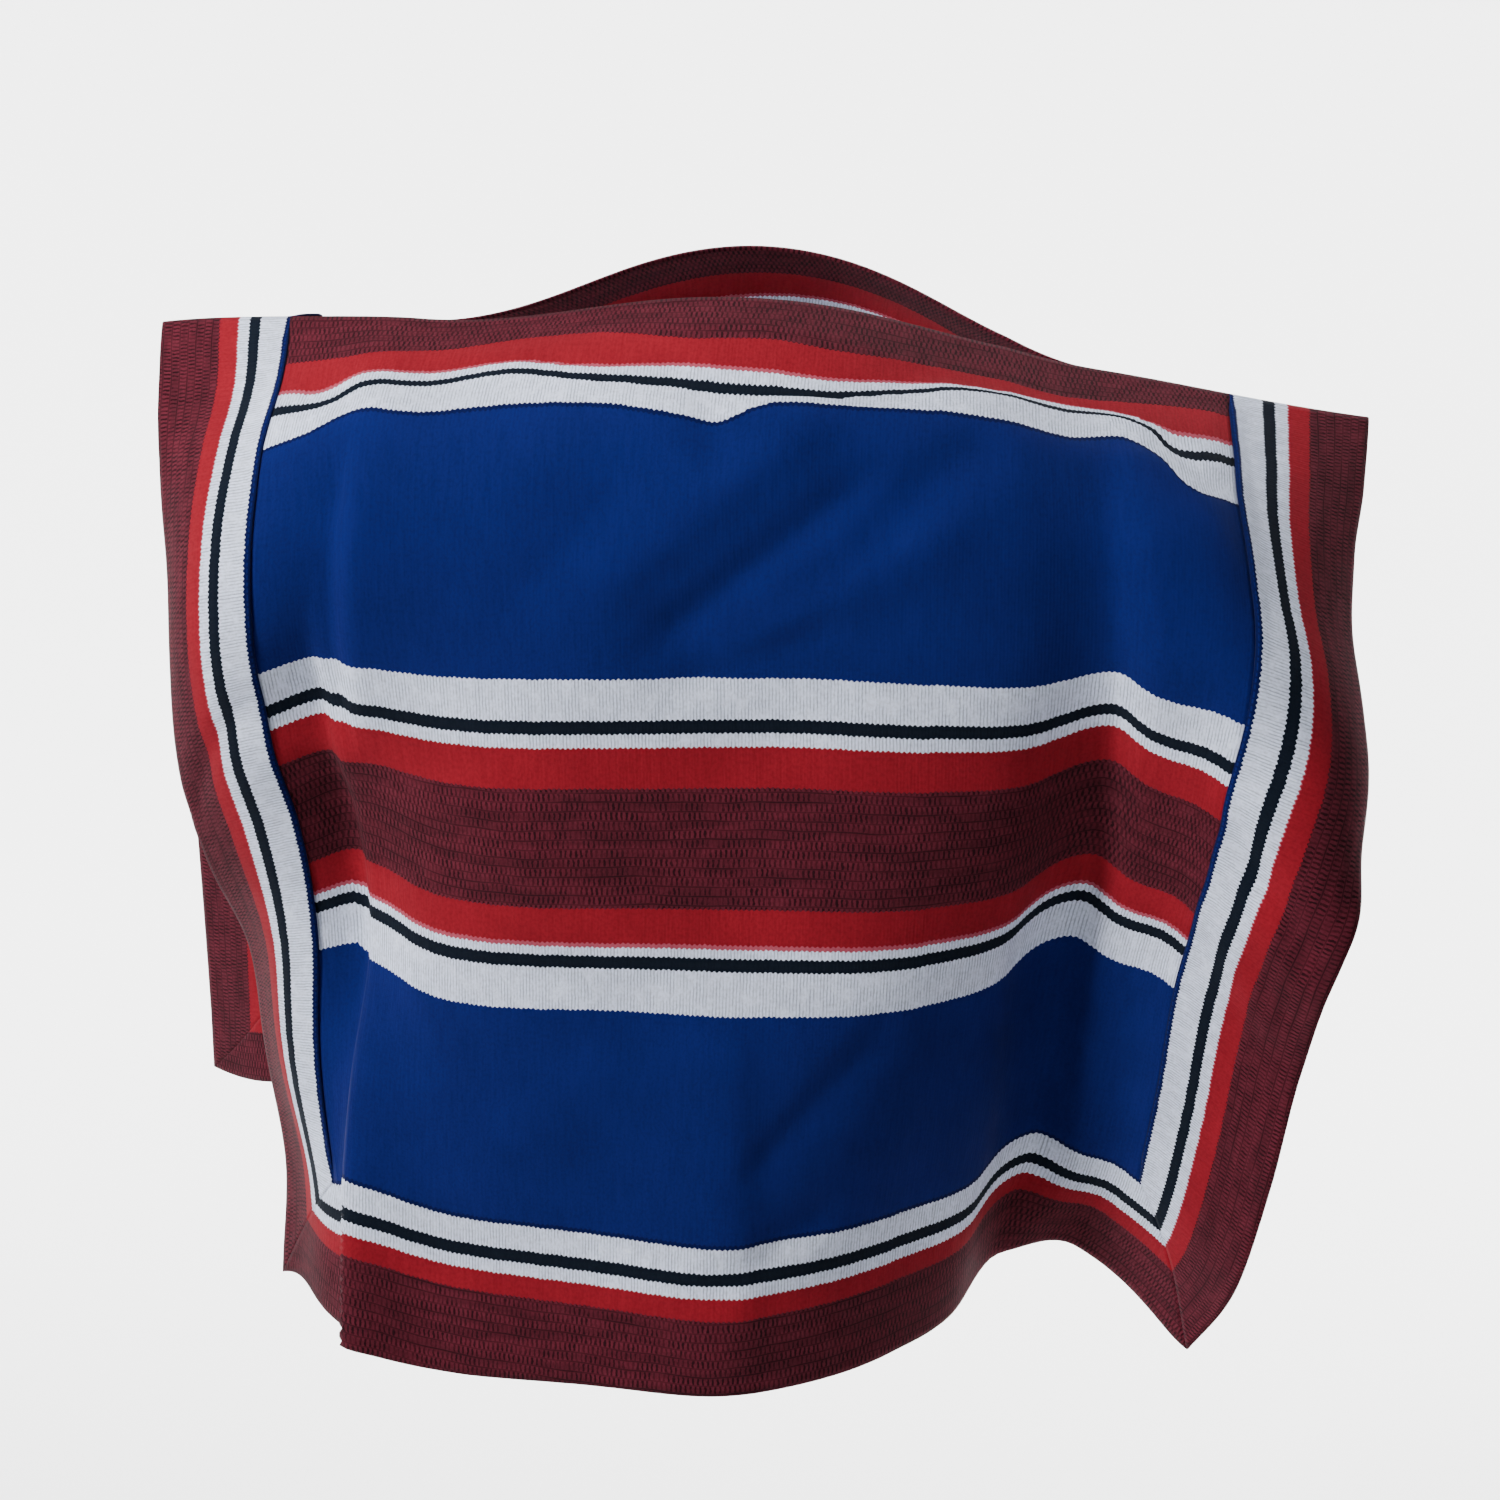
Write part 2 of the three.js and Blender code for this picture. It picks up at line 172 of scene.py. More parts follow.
# How far the stripes near the shoulder have slipped down the cloth, as it creases there.
# Columns: across, then the slip at each of SLIP_DROPS.
SLIP_DROPS = (0, 33, 54, 61, 68, 89, 130)
FRONT_SLIPS = [
    (-250, (0, 4, 6, 8, 12, 12, 0)),
    (-222, (0, 6, 9, 10, 12, 6, 0)),
    (-200, (0, 8, 4, 3, 3, -2, 0)),
    (-165, (0, 3, 4, 3, 3, -1, 0)),
    (-125, (0, -6, -3, -6, -6, -5, 0)),
    (-85, (0, -3, 6, 2, 3, -5, 0)),
    (-30, (0, 10, 8, 8, 11, 3, 0)),
    (-12, (0, 10, 10, 10, 14, 6, 0)),
    (8, (0, 10, 12, 12, 15, -2, 0)),
    (40, (0, 14, 16, 15, 16, -3, 0)),
    (70, (0, 12, 12, 10, 9, -5, 0)),
    (125, (0, 6, 0, -6, -8, -7, 0)),
    (156, (0, 7, -5, -8, -8, -9, -2)),
    (188, (0, 1, -7, -13, -15, -18, -6)),
    (204, (0, -3, -2, -6, -6, -5, -3)),
    (217, (0, -6, 3, 8, 12, 16, 0)),
    (250, (0, -10, -4, -1, 4, 13, 0)),
]
BACK_SLIPS = [
    (-250, (0, 3, 5, 6, 6, 5, 0)),
    (-170, (0, -3, -4, -4, -5, -3, 0)),
    (-60, (0, 2, 5, 6, 5, 2, 0)),
    (60, (0, -3, -3, -4, -5, -4, 0)),
    (170, (0, 5, 6, 8, 7, 8, 0)),
    (250, (0, 2, 3, 4, 5, 6, 0)),
]

# How far the hem band's stripes have slipped down, so that they meet the borders' stripes at the mitres.
# Columns: across, slip. It begins HEM_SLIP_ABOVE over the hem and is full HEM_SLIP_FADE below that.
HEM_SLIPS = {
    FRONT: [
        (-250, 9),
        (-234, 4),
        (-224, -6),
        (-205, -8),
        (-150, -5),
        (-60, 0),
        (60, 0),
        (160, 1),
        (250, 6.2),
    ],
    BACK: [
        (-250, 6.2),
        (-180, 1),
        (0, 0),
        (180, 1),
        (250, 6.2),
    ],
}
HEM_SLIP_ABOVE = 150
HEM_SLIP_FADE = 50

# The front's stripes stand TUCK_RISE higher left of its left crease. TUCK_WIDTH is the step's width.
TUCK_ACROSS = -226
TUCK_WIDTH = 4
TUCK_DROP = 330
TUCK_FADE = 90
TUCK_RISE = 4.5

# Studio lights. Columns: name, place and aim in metres, width in metres, power in watts, spread in degrees.
LIGHTS = (
    ("Key Light", (-1.75, -1.42, 1.4), (0, 0, -0.28), 0.5, 104, 180),
    ("Fill Light", (0.9, -2.6, 0.9), (0, 0, -0.28), 1.6, 1.5, 180),
    ("Back Light", (0.9, 2.2, 0.9), (0, 0, -0.28), 1.6, 16, 180),
    ("Top Light", (0.0, -0.3, 2.3), (0, 0, -0.28), 1.6, 4, 180),
    ("Floor Light Behind", (0.0, 7.6, 2.2), (0, 7.6, -1.4), 14.0, 3600, 60),
    ("Floor Light Left", (-11.0, 0.0, 2.2), (-11.0, 0, -1.4), 14.0, 1600, 60),
    ("Floor Light Right", (11.0, 0.0, 2.2), (11.0, 0, -1.4), 14.0, 1600, 60),
    ("Floor Light Front", (0.0, -11.6, 2.2), (0, -11.6, -1.4), 14.0, 1100, 60),
)

# The camera's sensor in millimetres, and how far it sees and half the floor's width in metres.
SENSOR_WIDTH = 36
FAR_CLIP = 30
FLOOR_HALF = 60
AMBIENT_COLOUR = (0.92, 0.95, 1.0, 1.0)
AMBIENT_STRENGTH = 0.07
FLOOR_COLOUR = (0.86, 0.86, 0.86)
FLOOR_ROUGHNESS = 0.9

# Woven stripes from the shoulder down. Columns: colour, width.
UPPER_STRIPES = [
    ("burgundy", 33),
    ("red", 20.3),
    ("rose", 0.7),
    ("white", 7),
    ("black", 7),
    ("white", 21),
    ("navy", 1.2),
    ("blue", 131.6),
    ("navy", 1.2),
    ("white", 21),
    ("black", 7),
    ("white", 8),
    ("rose", 0.7),
    ("red", 19.8),
    ("burgundy", 66.5),
    ("red", 20.3),
    ("rose", 0.7),
    ("white", 7),
    ("black", 7),
    ("white", 22.5),
    ("navy", 1.2),
]
HEM_STRIPES = [
    ("navy", 1.2),
    ("white", 15.5),
    ("black", 7),
    ("white", 7),
    ("rose", 0.7),
    ("red", 12.8),
    ("burgundy", 44),
]
# The borders' stripes, from the seam out.
BORDER_STRIPES = [
    ("navy", 1.7),
    ("white", 15.8),
    ("black", 7),
    ("white", 7),
    ("rose", 0.7),
    ("red", 12.3),
    ("burgundy", 37.5),
]

# Pitches and sizes of the yarn.
RIB_PITCH = 1.7
PICK_PITCH = 1.2
COMB_PITCH = 2.6
COMB_ROW = 5.1
TOOTH_PITCH = 2.6
TOOTH_DEPTH = 0.42
TOOTH_DRIFT = 1.6
STITCH_PITCH = 3.4
STITCH_INSET = 0.1

# The finish of the cotton, and in RIB_SHADE the strength of the painted shade between the ribs of the white
# stripes. A pair holds the values at the low and the high end of a noise.
RIB_SHADE = 0.78
STREAK_SHADES = (0.94, 1.04)
TONE_SHADES = (0.93, 1.06)
SPECKLE_SHADES = (0.84, 1.04)
ROUGHNESS = (0.94, 0.84)
SHEEN = 0.02
SHEEN_ROUGHNESS = 0.5
SPECULAR = 0.08
# Floats sink into the yarn's relief by this share of it, and the relief's depth is in metres.
FLOAT_HEIGHT = -0.5
RELIEF_STRENGTH = 0.3
RELIEF_DEPTH = 0.0004


def srgb(red, green, blue):
    """Linear colour from the 0 to 255 values of a screen."""

    def channel(value):
        share = value / 255
        return share / 12.92 if share <= 0.04045 else ((share + 0.055) / 1.055) ** 2.4

    return (channel(red), channel(green), channel(blue))


class PonchoCloth(bpy.types.PropertyGroup):
    """Sizes and colours of the cloth."""

    half_width: bpy.props.FloatProperty(
        name="Half Width",
        description="From the middle line to the outer edge",
        default=0.332,
        unit="LENGTH",
    )
    border_width: bpy.props.FloatProperty(
        name="Border Width",
        description="Width of the side borders and of the hem band",
        default=0.082,
        unit="LENGTH",
    )
    front_length: bpy.props.FloatProperty(
        name="Front Length",
        description="From the shoulder seam to the front hem",
        default=0.622,
        unit="LENGTH",
    )
    back_length: bpy.props.FloatProperty(
        name="Back Length",
        description="From the shoulder seam to the back hem",
        default=0.600,
        unit="LENGTH",
    )
    slit_half: bpy.props.FloatProperty(
        name="Half Neck Slit",
        description="From the middle line to an end of the neck slit",
        default=0.164,
        unit="LENGTH",
    )
    thickness: bpy.props.FloatProperty(
        name="Thickness",
        description="Thickness of the woven cloth",
        default=0.0014,
        unit="LENGTH",
    )
    cell: bpy.props.FloatProperty(
        name="Mesh Cell",
        description="Size of one cell of the cloth's mesh",
        default=0.0036,
        unit="LENGTH",
    )
    blue: bpy.props.FloatVectorProperty(
        name="Blue",
        description="Dyed blue cotton",
        default=srgb(10, 24, 93),
        subtype="COLOR",
    )
    navy: bpy.props.FloatVectorProperty(
        name="Navy",
        description="Darker blue beside the white stripes",
        default=srgb(6, 15, 66),
        subtype="COLOR",
    )
    red: bpy.props.FloatVectorProperty(
        name="Red",
        description="Dyed red cotton",
        default=srgb(136, 23, 36),
        subtype="COLOR",
    )
    rose: bpy.props.FloatVectorProperty(
        name="Rose",
        description="Where red and white yarns mix",
        default=srgb(168, 74, 90),
        subtype="COLOR",
    )
    burgundy: bpy.props.FloatVectorProperty(
        name="Burgundy",
        description="Lighter yarn of the dark red cotton",
        default=srgb(97, 32, 45),
        subtype="COLOR",
    )
    burgundy_dark: bpy.props.FloatVectorProperty(
        name="Dark Burgundy",
        description="Dark yarn floats on the burgundy",
        default=srgb(38, 12, 19),
        subtype="COLOR",
    )
    white: bpy.props.FloatVectorProperty(
        name="White",
        description="Bleached cotton",
        default=srgb(224, 231, 252),
        subtype="COLOR",
    )
    # Painted shade between the ribs of the white stripes.
    rib_shade_grey: bpy.props.FloatVectorProperty(
        name="Rib Grey",
        description="Shaded ribs of the white stripes",
        default=srgb(146, 156, 176),
        subtype="COLOR",
    )
    black: bpy.props.FloatVectorProperty(
        name="Black",
        description="Blue-black cotton",
        default=srgb(12, 20, 32),
        subtype="COLOR",
    )


class PonchoStage(bpy.types.PropertyGroup):
    """Camera, light and floor."""

    camera_place: bpy.props.FloatVectorProperty(
        name="Camera Place",
        description="Where the camera stands",
        default=(0.1598, -1.6914, 0.3949),
        subtype="TRANSLATION",
    )
    camera_aim: bpy.props.FloatVectorProperty(
        name="Camera Aim",
        description="Point that the camera looks at",
        default=(0.0206, -0.1, -0.1865),
        subtype="TRANSLATION",
    )
    camera_roll: bpy.props.FloatProperty(
        name="Camera Roll",
        description="Turn of the camera about its line of sight",
        default=math.radians(2.8),
        subtype="ANGLE",
    )
    lens: bpy.props.FloatProperty(
        name="Lens",
        description="Focal length in millimetres on a 36 mm wide picture",
        default=81.04,
    )
    floor_height: bpy.props.FloatProperty(
        name="Floor Height",
        description="Height of the floor under the poncho",
        default=-1.4,
        unit="LENGTH",
    )


# Form of the cloth


def through(stops, values, at):
    """Smooth curve through values at stops, with the mean slope of its neighbours at each stop."""
    stops = np.asarray(stops, float)
    values = np.asarray(values, float)
    at = np.atleast_1d(np.asarray(at, float))
    wide = (-1,) + (1,) * (values.ndim - 1)
    slopes = np.diff(values, axis=0) / np.diff(stops).reshape(wide)
    tangents = np.concatenate([slopes[:1], (slopes[1:] + slopes[:-1]) / 2, slopes[-1:]])
    index = np.clip(np.searchsorted(stops, at, side="right") - 1, 0, len(stops) - 2)
    span = (stops[index + 1] - stops[index]).reshape(wide)
    t = np.clip((at - stops[index]).reshape(wide) / span, 0, 1)
    return (
        (1 + 2 * t) * (1 - t) ** 2 * values[index]
        + t * (1 - t) ** 2 * span * tangents[index]
        + t * t * (3 - 2 * t) * values[index + 1]
        + t * t * (t - 1) * span * tangents[index + 1]
    )


def read_column(rows, column, at):
    """Smooth curve through one column of a table, over its first column."""
    return through([row[0] for row in rows], [row[column] for row in rows], at)


def ease(t):
    """Smooth step from 0 to 1 while t goes from 0 to 1."""
    t = np.clip(t, 0, 1)
    return t * t * (3 - 2 * t)


class ClothForm:
    """The two hanging panels as points over (across, drop), in millimetres."""

    STEP_ACROSS = 2
    STEP_DOWN = 3
    # Least shares of a step: of its level run across, squared, and of its fall downwards.
    LEAST_LEVEL = 0.2
    LEAST_FALL = 0.2

    def __init__(self, cloth):
        self.half = cloth.half_width / MM
        self.slit = cloth.slit_half / MM
        self.lengths = {FRONT: cloth.front_length / MM, BACK: cloth.back_length / MM}
        self.across = np.linspace(-self.half, self.half, round(2 * self.half / self.STEP_ACROSS) + 1)
        self.drops = {}
        self.points = {}
        self.hang(FRONT, FRONT_SECTIONS, self.shoulder(self.across))
        self.catch_corners()
        nape = NAPE_RISE * np.cos(np.pi * np.clip(self.across / self.slit, -1, 1) / 2) ** 2
        self.hang(BACK, BACK_SECTIONS, self.shoulder(self.across) + nape)
        self.join_shoulders()
        self.normals = {side: self.outward(side) for side in (FRONT, BACK)}

    def shoulder(self, across):
        """Height of the shoulder line."""
        away = np.abs(across)
        arch = NECK_RISE * (1 + np.cos(np.pi * np.minimum(away, NECK_RISE_HALF) / NECK_RISE_HALF)) / 2
        falls = []
        for shoulder in (LEFT_SHOULDER, RIGHT_SHOULDER):
            outside = np.clip((away - shoulder["start"]) / (self.half - shoulder["start"]), 0, 1)
            falls.append(shoulder["fall"] * outside ** shoulder["roundness"])
        return SHOULDER_HEIGHT + arch - np.where(across < 0, *falls)

    def hang(self, side, sections, top):
        """Hangs a panel row by row. Rows keep the cloth's width, and columns keep its length."""
        length = self.lengths[side]
        drops = np.linspace(0, length, round(length / self.STEP_DOWN) + 1)
        middle_x = read_column(sections, 1, drops)
        middle_y = read_column(sections, 2, drops)
        turns = read_column(sections, 3, drops)
        between = (self.across[1:] + self.across[:-1]) / 2
        step = np.diff(self.across)
        points = np.zeros((len(self.across), len(drops), 3))
        height = top
        for row, drop in enumerate(drops):
            turn = np.radians(through(list(PLACES.values()), turns[row], between))
            slope = np.diff(height) / step
            level = step * np.sqrt(np.maximum(1 - slope**2, self.LEAST_LEVEL))
            x = np.concatenate([[0], np.cumsum(np.cos(turn) * level)])
            y = np.concatenate([[0], np.cumsum(np.sin(turn) * level)])
            x += middle_x[row] - np.interp(0, self.across, x)
            y += middle_y[row] - np.interp(0, self.across, y)
            if row:
                fall = drop - drops[row - 1]
                sideways = (x - points[:, row - 1, 0]) ** 2 + (y - points[:, row - 1, 1]) ** 2
                height = height - np.sqrt(np.maximum(fall**2 - sideways, (self.LEAST_FALL * fall) ** 2))
            points[:, row] = np.stack([x, y, height], axis=-1)
        self.drops[side] = drops
        self.points[side] = points

    def catch_corners(self):
        """Moves the front's lower corners to where they are caught up."""
        for across, drop, edge, shift in CAUGHT_CORNERS:
            aside = ease((self.across - across) / (edge - across))
            down = ease((self.drops[FRONT] - drop) / (self.lengths[FRONT] - drop))
            share = aside[:, None] * down[None, :]
            self.points[FRONT] += share[:, :, None] * np.array(shift, float)

    def join_shoulders(self):
        """Brings the back's shoulder line onto the front's, evenly along the neck slit."""
        gaps = self.points[FRONT][:, 0] - self.points[BACK][:, 0]
        outside = np.abs(self.across) >= self.slit
        first = int(np.argmax(self.across >= -self.slit))
        last = int(np.argmax(self.across >= self.slit))
        nearest = np.where(outside, np.arange(len(self.across)), np.where(self.across < 0, first, last))
        share = np.minimum(np.abs(self.across) / self.slit, 1)
        fade = np.maximum(1 - self.drops[BACK] / SEAM_EASE, 0) ** 2
        self.points[BACK] += gaps[nearest][:, None, :] * share[:, None, None] * fade[None, :, None]

    def outward(self, side):
        """Unit normals on the cloth's outer side."""
        along = np.gradient(self.points[side], axis=0)
        down = np.gradient(self.points[side], axis=1)
        normal = np.cross(along, down) * side
        return normal / np.linalg.norm(normal, axis=2, keepdims=True)

    def sample(self, table, side, across, drop):
        """Reads a table between its points."""
        drops = self.drops[side]
        c = np.clip((across + self.half) / (2 * self.half), 0, 1) * (len(self.across) - 1)
        r = np.clip(drop / drops[-1], 0, 1) * (len(drops) - 1)
        c0 = np.minimum(c.astype(int), len(self.across) - 2)
        r0 = np.minimum(r.astype(int), len(drops) - 2)
        s = (c - c0)[:, None]
        t = (r - r0)[:, None]
        upper = table[c0, r0] * (1 - s) + table[c0 + 1, r0] * s
        lower = table[c0, r0 + 1] * (1 - s) + table[c0 + 1, r0 + 1] * s
        return upper * (1 - t) + lower * t

    def relief(self, side, across, drop):
        """Height of the small folds over the plain form."""
        height = np.zeros(len(across))
        for fold_side, start, end, left, right, rise in FOLDS.values():
            if fold_side != side:
                continue
            run = np.array(end, float) - np.array(start, float)
            length = np.hypot(*run)
            run /= length
            dx = across - start[0]
            dy = drop - start[1]
            place = (dx * run[0] + dy * run[1]) / length
            off = dx * run[1] - dy * run[0]
            off = off / np.where(off < 0, left, right)
            taper = ease(place / FOLD_TAPER + 0.5) * ease((1 - place) / FOLD_TAPER + 0.5)
            height += rise * np.exp(-off * off) * taper
        return height

    def woven_drop(self, side, across, drop):
        """The drop at which a point of the cloth was woven, before the stripes slipped."""
        slips = FRONT_SLIPS if side == FRONT else BACK_SLIPS
        woven = np.array(SLIP_DROPS, float)
        seen = read_column(slips, 1, across) + woven
        found = np.where(drop > seen[:, -1], drop - seen[:, -1] + woven[-1], 0.0)
        for low in range(len(woven) - 1):
            span = seen[:, low + 1] - seen[:, low]
            share = (drop - seen[:, low]) / span
            inside = (share >= 0) & (share <= 1)
            found = np.where(inside, woven[low] + share * (woven[low + 1] - woven[low]), found)
        if side == FRONT:
            tucked = ease((TUCK_ACROSS - across) / TUCK_WIDTH + 0.5)
            found = found + TUCK_RISE * tucked * ease((drop - TUCK_DROP) / TUCK_FADE)
        above_hem = self.lengths[side] - drop
        in_hem = ease((HEM_SLIP_ABOVE - above_hem) / HEM_SLIP_FADE)
        return found - read_column(HEM_SLIPS[side], 1, across) * in_hem

    def place(self, side, across, drop, lift=0.0):
        """Points in metres on the cloth, moved outward by lift millimetres."""
        point = self.sample(self.points[side], side, across, drop)
        normal = self.sample(self.normals[side], side, across, drop)
        height = self.relief(side, across, drop) * ease(drop / FOLD_START) + lift
        return (point + normal * np.reshape(height, (-1, 1))) * MM


# Materials


class NodeBench:
    """Short ways to add and join shader nodes."""

    def __init__(self, tree):
        self.tree = tree

    def add(self, kind, **settings):
        node = self.tree.nodes.new(kind)
        for name, value in settings.items():
            setattr(node, name, value)
        return node

    def join(self, source, target):
        self.tree.links.new(source, target)

    def feed(self, socket, value):
        if isinstance(value, bpy.types.NodeSocket):
            self.join(value, socket)
        elif value is not None:
            socket.default_value = value

    def math(self, operation, *values):
        node = self.add("ShaderNodeMath", operation=operation)
        for socket, value in zip(node.inputs, values):
            self.feed(socket, value)
        return node.outputs[0]

    def remap(self, value, low, high, to_low=0.0, to_high=1.0):
        node = self.add("ShaderNodeMapRange", interpolation_type="SMOOTHSTEP")
        for name, setting in (
            ("Value", value),
            ("From Min", low),
            ("From Max", high),
            ("To Min", to_low),
            ("To Max", to_high),
        ):
            self.feed(node.inputs[name], setting)
        return node.outputs["Result"]

    def point(self, x, y, z=0.0):
        node = self.add("ShaderNodeCombineXYZ")
        for socket, value in zip(node.inputs, (x, y, z)):
            self.feed(socket, value)
        return node.outputs[0]

    def noise(self, vector, scale, detail=2.0, roughness=0.5):
        node = self.add("ShaderNodeTexNoise")
        self.feed(node.inputs["Vector"], vector)
        self.feed(node.inputs["Scale"], scale)
        self.feed(node.inputs["Detail"], detail)
        self.feed(node.inputs["Roughness"], roughness)
        return node.outputs["Fac"]

    def blend(self, mode, share, first, second):
        node = self.add("ShaderNodeMix", data_type="RGBA", blend_type=mode)
        colours = [socket for socket in node.inputs if socket.type == "RGBA"]
        self.feed(node.inputs[0], share)
        self.feed(colours[0], first)
        self.feed(colours[1], second)
        return next(socket for socket in node.outputs if socket.type == "RGBA")

    def stripes(self, place, stripes, colours):
        """A colour for each stripe with sharp edges, black for stripes that colours doesn't list."""
        node = self.add("ShaderNodeValToRGB")
        ramp = node.color_ramp
        ramp.interpolation = "CONSTANT"
        ramp.elements.remove(ramp.elements[-1])
        total = sum(width for _, width in stripes)
        begin = 0.0
        for name, width in stripes:
            element = ramp.elements.new(begin / total) if begin else ramp.elements[0]
            element.color = (*colours.get(name, (0.0, 0.0, 0.0)), 1.0)
            begin += width
        self.join(place, node.inputs[0])
        return node.outputs["Color"]

    def group(self, name, **inputs):
        """Places a node group and feeds its inputs by their names in lower case."""
        node = self.add("ShaderNodeGroup")
        node.node_tree = bpy.data.node_groups[name]
        for key, value in inputs.items():
            self.feed(node.inputs[key.capitalize()], value)
        return node


def new_group(name, inputs, outputs):
    """An empty node group. Returns its bench and its input and output nodes."""
    tree = bpy.data.node_groups.new(name, "ShaderNodeTree")
    for label, kind, default in inputs:
        socket = tree.interface.new_socket(label, in_out="INPUT", socket_type=kind)
        socket.default_value = default
    for label, kind in outputs:
        tree.interface.new_socket(label, in_out="OUTPUT", socket_type=kind)
    bench = NodeBench(tree)
    return bench, bench.add("NodeGroupInput"), bench.add("NodeGroupOutput")


def build_yarn_group():
    """Uneven yarn: streaks, slubs, the ribs of a plain weave, and random patches of painted shade between
    the ribs. Along runs with the stripes.
    """
    bench, start, end = new_group(
        "Cotton Yarn",
        [("Along", "NodeSocketFloat", 0.0), ("Over", "NodeSocketFloat", 0.0)],
        [
            ("Streak", "NodeSocketFloat"),
            ("Tone", "NodeSocketFloat"),
            ("Speckle", "NodeSocketFloat"),
            ("Rib", "NodeSocketFloat"),
            ("Height", "NodeSocketFloat"),
        ],
    )
    along = start.outputs["Along"]
    over = start.outputs["Over"]
    long_yarn = bench.point(bench.math("MULTIPLY", along, 0.6), bench.math("MULTIPLY", over, 0.05))
    streak = bench.noise(long_yarn, 1.0, 3.0)
    tone = bench.noise(bench.point(along, over), 0.022, 3.0)
    speckle = bench.noise(bench.point(along, bench.math("MULTIPLY", over, 0.7)), 0.7, 3.0, 0.6)
    bend = bench.math("MULTIPLY", bench.noise(bench.point(along, over), 0.2, 1.0), 2.5)
    rib = bench.math("SINE", bench.math("ADD", bench.math("MULTIPLY", along, math.tau / RIB_PITCH), bend))
    pick = bench.math("SINE", bench.math("ADD", bench.math("MULTIPLY", over, math.tau / PICK_PITCH), bend))
    weave = bench.math("MULTIPLY", rib, bench.math("MULTIPLY_ADD", pick, 0.35, 0.65))
    height = bench.math("MULTIPLY_ADD", weave, 0.25, streak)
    # Random patches where the painted shade between the ribs shows, for the Rib mask below.
    worn = bench.noise(bench.point(along, bench.math("MULTIPLY", over, 0.5)), 0.2, 3.0)
    rib_shade_patches = bench.remap(worn, 0.3, 0.6)
    bench.join(streak, end.inputs["Streak"])
    bench.join(tone, end.inputs["Tone"])
    bench.join(speckle, end.inputs["Speckle"])
    bench.join(bench.math("MULTIPLY", bench.remap(rib, -0.2, 1.0), rib_shade_patches), end.inputs["Rib"])
    bench.join(height, end.inputs["Height"])


def build_comb_group():
    """Short dark floats in staggered rows, as in the burgundy cotton."""
    bench, start, end = new_group(
        "Comb Floats",
        [
            ("Along", "NodeSocketFloat", 0.0),
            ("Over", "NodeSocketFloat", 0.0),
            ("Pitch", "NodeSocketFloat", COMB_PITCH),
            ("Row", "NodeSocketFloat", COMB_ROW),
        ],
        [("Mask", "NodeSocketFloat")],
    )
    along = start.outputs["Along"]
    over = start.outputs["Over"]
    wander = bench.math("MULTIPLY", bench.noise(bench.point(along, over), 0.03, 1.0), 0.6)
    rows = bench.math("ADD", bench.math("DIVIDE", over, start.outputs["Row"]), wander)
    row = bench.math("FLOOR", rows)
    shift = bench.math("MULTIPLY", bench.math("MODULO", row, 2.0), 0.5)
    steps = bench.math("ADD", bench.math("DIVIDE", along, start.outputs["Pitch"]), shift)
    stray = bench.noise(bench.point(along, over), 0.35, 2.0)
    steps = bench.math("MULTIPLY_ADD", stray, 0.7, steps)
    beside = bench.math("ABSOLUTE", bench.math("SUBTRACT", bench.math("FRACT", steps), 0.5))
    within = bench.math("ABSOLUTE", bench.math("SUBTRACT", bench.math("FRACT", rows), 0.5))
    dash = bench.remap(beside, 0.14, 0.32, 1.0, 0.0)
    rung = bench.remap(within, 0.34, 0.48, 1.0, 0.15)
    uneven = bench.remap(bench.noise(bench.point(along, over), 0.1, 3.0), 0.3, 0.6, 0.5, 1.0)
    line = bench.math("MULTIPLY", bench.remap(within, 0.38, 0.47), 0.55)
    long_row = bench.point(bench.math("MULTIPLY", along, 0.02), bench.math("MULTIPLY", over, 0.16))
    shade = bench.math("MULTIPLY", bench.remap(bench.noise(long_row, 1.0, 2.0), 0.35, 0.68), 0.42)
    mask = bench.math("MULTIPLY", bench.math("MULTIPLY", dash, rung), uneven)
    mask = bench.math("MAXIMUM", mask, bench.math("ADD", line, shade))
    bench.join(mask, end.inputs["Mask"])


def build_teeth_group():
    """How far a stripe's edge strays where the yarns interlace."""
    bench, start, end = new_group(
        "Stripe Teeth",
        [("Along", "NodeSocketFloat", 0.0)],
        [("Stray", "NodeSocketFloat")],
    )
    along = start.outputs["Along"]
    tooth = bench.math("SINE", bench.math("MULTIPLY", along, math.tau / TOOTH_PITCH))
    drift = bench.math("SUBTRACT", bench.noise(bench.point(along, 0.0), 0.12, 2.0), 0.5)
    drift = bench.math("MULTIPLY", drift, TOOTH_DRIFT)
    stray = bench.math("MULTIPLY_ADD", tooth, TOOTH_DEPTH, drift)
    bench.join(stray, end.inputs["Stray"])


def build_stitch_group():
    """A row of short stitches just inside a border's folded edge."""
    bench, start, end = new_group(
        "Edge Stitches",
        [
            ("Along", "NodeSocketFloat", 0.0),
            ("Over", "NodeSocketFloat", 0.0),
            ("Pitch", "NodeSocketFloat", STITCH_PITCH),
            ("Inset", "NodeSocketFloat", STITCH_INSET),
        ],
        [("Mask", "NodeSocketFloat")],
    )
    along = start.outputs["Along"]
    uneven = bench.math("MULTIPLY", bench.noise(bench.point(along, 0.0), 0.15, 1.0), 1.4)
    steps = bench.math("ADD", bench.math("DIVIDE", along, start.outputs["Pitch"]), uneven)
    beside = bench.math("ABSOLUTE", bench.math("SUBTRACT", bench.math("FRACT", steps), 0.5))
    from_row = bench.math("SUBTRACT", start.outputs["Over"], start.outputs["Inset"])
    from_row = bench.math("ABSOLUTE", bench.math("MULTIPLY_ADD", uneven, 0.3, from_row))
    dash = bench.remap(beside, 0.28, 0.38, 1.0, 0.0)
    row = bench.remap(from_row, 0.3, 0.6, 1.0, 0.0)
    bench.join(bench.math("MULTIPLY", dash, row), end.inputs["Mask"])


